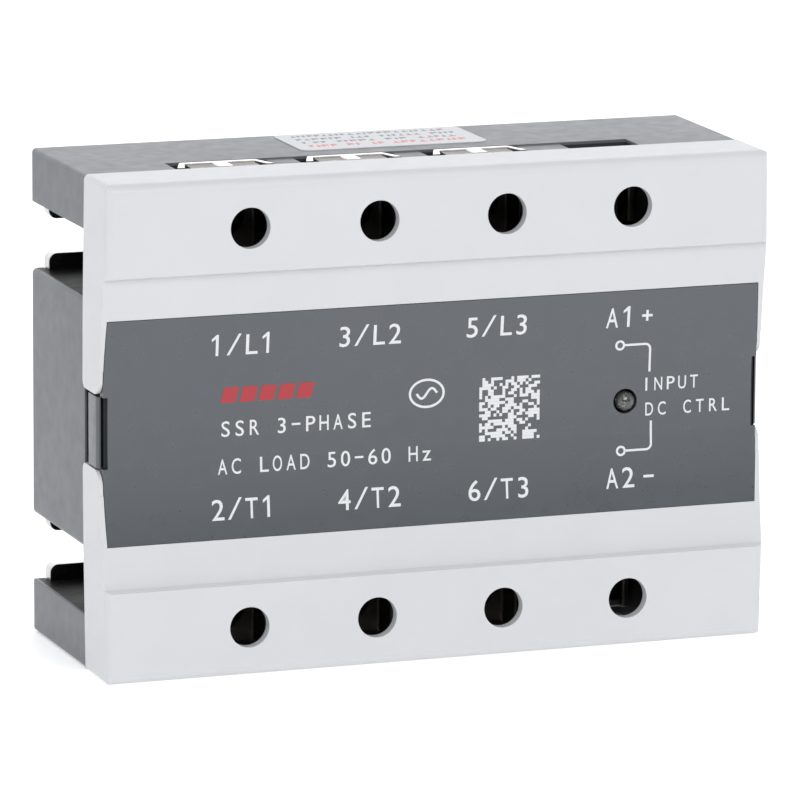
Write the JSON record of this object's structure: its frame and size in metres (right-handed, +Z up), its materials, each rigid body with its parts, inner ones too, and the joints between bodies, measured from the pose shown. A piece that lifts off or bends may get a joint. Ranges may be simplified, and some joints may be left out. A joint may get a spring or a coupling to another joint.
{
  "type": "solid state relay",
  "caption": "Three-phase solid state relay for panel mounting: metal base, grey housing, lift-off white cover with dark label panel, saddle-clamp screw terminals and an indicator.",
  "frame": {"origin": "centre of the metal base plate's back face, which lies against the heatsink", "axes": "+Y out of the mounting face into the heatsink, +X to the right and +Z up as the label is read; the label faces -Y"},
  "size_m": [0.104, 0.0368, 0.074],
  "materials": {
    "housing_plastic": "fine matt moulded texture",
    "cover_plastic": "satin moulded",
    "panel_plastic": "fine matt with white print",
    "nickel_plate": "bright nickel",
    "steel": "zinc plated",
    "copper": "tinned copper",
    "ceramic_white": "fired alumina",
    "silicon": "polished",
    "potting_gel": "cast, slightly glossy",
    "board_laminate": "green solder mask",
    "black_epoxy": "moulded epoxy",
    "capacitor_case": "moulded box",
    "resistor_coat": "lacquer",
    "varistor_coat": "dipped epoxy",
    "nylon": "natural nylon",
    "led_lens": "smoky clear epoxy",
    "sticker_paper": "coated paper"
  },
  "bodies": {
    "base": {"base_plate": "nickel_plate", "housing": "housing_plastic", "base_screws": "steel", "ceramic_substrates": "ceramic_white", "thyristor_chips": "silicon", "gate_leads": "copper", "potting": "potting_gel", "control_board": "board_laminate", "board_screws": "steel", "optocouplers": "black_epoxy", "snubber_capacitors": "capacitor_case", "snubber_resistors": "resistor_coat", "varistors": "varistor_coat", "input_resistors": "resistor_coat", "input_transistor": "black_epoxy", "led_spacer": "nylon", "indicator_led": "led_lens", "led_leads": "steel", "terminal_nuts": "steel", "top_sticker": "sticker_paper", "busbar_L1": "copper", "busbar_T1": "copper", "busbar_L2": "copper", "busbar_T2": "copper", "busbar_L3": "copper", "busbar_T3": "copper", "contact_A1": "copper", "contact_A2": "copper"},
    "cover": {"front_cover": "cover_plastic", "label_panel": "panel_plastic"},
    "clamp_L1": {"clamp_L1": "nickel_plate"},
    "screw_L1": {"screw_L1": "steel"},
    "clamp_T1": {"clamp_T1": "nickel_plate"},
    "screw_T1": {"screw_T1": "steel"},
    "clamp_L2": {"clamp_L2": "nickel_plate"},
    "screw_L2": {"screw_L2": "steel"},
    "clamp_T2": {"clamp_T2": "nickel_plate"},
    "screw_T2": {"screw_T2": "steel"},
    "clamp_L3": {"clamp_L3": "nickel_plate"},
    "screw_L3": {"screw_L3": "steel"},
    "clamp_T3": {"clamp_T3": "nickel_plate"},
    "screw_T3": {"screw_T3": "steel"},
    "clamp_A1": {"clamp_A1": "nickel_plate"},
    "screw_A1": {"screw_A1": "steel"},
    "clamp_A2": {"clamp_A2": "nickel_plate"},
    "screw_A2": {"screw_A2": "steel"}
  },
  "joints": [
    {"name": "cover_lift", "type": "slide", "parent": "base", "child": "cover", "axis": [0, -1, 0], "range_m": [0, 0.035]},
    {"name": "clamp_L1_travel", "type": "slide", "parent": "base", "child": "clamp_L1", "axis": [0, -1, 0], "range_m": [-0.0007, 0.00098]},
    {"name": "screw_L1_turn", "type": "hinge", "parent": "clamp_L1", "child": "screw_L1", "pos_m": [-0.02985, -0.022, 0.02974], "axis": [0, -1, 0], "range_deg": [-360.5, 504.5]},
    {"name": "clamp_T1_travel", "type": "slide", "parent": "base", "child": "clamp_T1", "axis": [0, -1, 0], "range_m": [-0.0007, 0.00098]},
    {"name": "screw_T1_turn", "type": "hinge", "parent": "clamp_T1", "child": "screw_T1", "pos_m": [-0.02985, -0.022, -0.02974], "axis": [0, -1, 0], "range_deg": [-360.5, 504.5]},
    {"name": "clamp_L2_travel", "type": "slide", "parent": "base", "child": "clamp_L2", "axis": [0, -1, 0], "range_m": [-0.0007, 0.00098]},
    {"name": "screw_L2_turn", "type": "hinge", "parent": "clamp_L2", "child": "screw_L2", "pos_m": [-0.00995, -0.022, 0.02974], "axis": [0, -1, 0], "range_deg": [-360.5, 504.5]},
    {"name": "clamp_T2_travel", "type": "slide", "parent": "base", "child": "clamp_T2", "axis": [0, -1, 0], "range_m": [-0.0007, 0.00098]},
    {"name": "screw_T2_turn", "type": "hinge", "parent": "clamp_T2", "child": "screw_T2", "pos_m": [-0.00995, -0.022, -0.02974], "axis": [0, -1, 0], "range_deg": [-360.5, 504.5]},
    {"name": "clamp_L3_travel", "type": "slide", "parent": "base", "child": "clamp_L3", "axis": [0, -1, 0], "range_m": [-0.0007, 0.00098]},
    {"name": "screw_L3_turn", "type": "hinge", "parent": "clamp_L3", "child": "screw_L3", "pos_m": [0.00995, -0.022, 0.02974], "axis": [0, -1, 0], "range_deg": [-360.5, 504.5]},
    {"name": "clamp_T3_travel", "type": "slide", "parent": "base", "child": "clamp_T3", "axis": [0, -1, 0], "range_m": [-0.0007, 0.00098]},
    {"name": "screw_T3_turn", "type": "hinge", "parent": "clamp_T3", "child": "screw_T3", "pos_m": [0.00995, -0.022, -0.02974], "axis": [0, -1, 0], "range_deg": [-360.5, 504.5]},
    {"name": "clamp_A1_travel", "type": "slide", "parent": "base", "child": "clamp_A1", "axis": [0, -1, 0], "range_m": [-0.0007, 0.002]},
    {"name": "screw_A1_turn", "type": "hinge", "parent": "clamp_A1", "child": "screw_A1", "pos_m": [0.02985, -0.022, 0.02974], "axis": [0, -1, 0], "range_deg": [-504.5, 1440.5]},
    {"name": "clamp_A2_travel", "type": "slide", "parent": "base", "child": "clamp_A2", "axis": [0, -1, 0], "range_m": [-0.0007, 0.002]},
    {"name": "screw_A2_turn", "type": "hinge", "parent": "clamp_A2", "child": "screw_A2", "pos_m": [0.02985, -0.022, -0.02974], "axis": [0, -1, 0], "range_deg": [-504.5, 1440.5]}
  ],
  "couplings": [
    {"joint": "screw_L1_turn", "follows": "clamp_L1_travel", "rad_per_m": 8976},
    {"joint": "screw_T1_turn", "follows": "clamp_T1_travel", "rad_per_m": 8976},
    {"joint": "screw_L2_turn", "follows": "clamp_L2_travel", "rad_per_m": 8976},
    {"joint": "screw_T2_turn", "follows": "clamp_T2_travel", "rad_per_m": 8976},
    {"joint": "screw_L3_turn", "follows": "clamp_L3_travel", "rad_per_m": 8976},
    {"joint": "screw_T3_turn", "follows": "clamp_T3_travel", "rad_per_m": 8976},
    {"joint": "screw_A1_turn", "follows": "clamp_A1_travel", "rad_per_m": 12566},
    {"joint": "screw_A2_turn", "follows": "clamp_A2_travel", "rad_per_m": 12566}
  ]
}
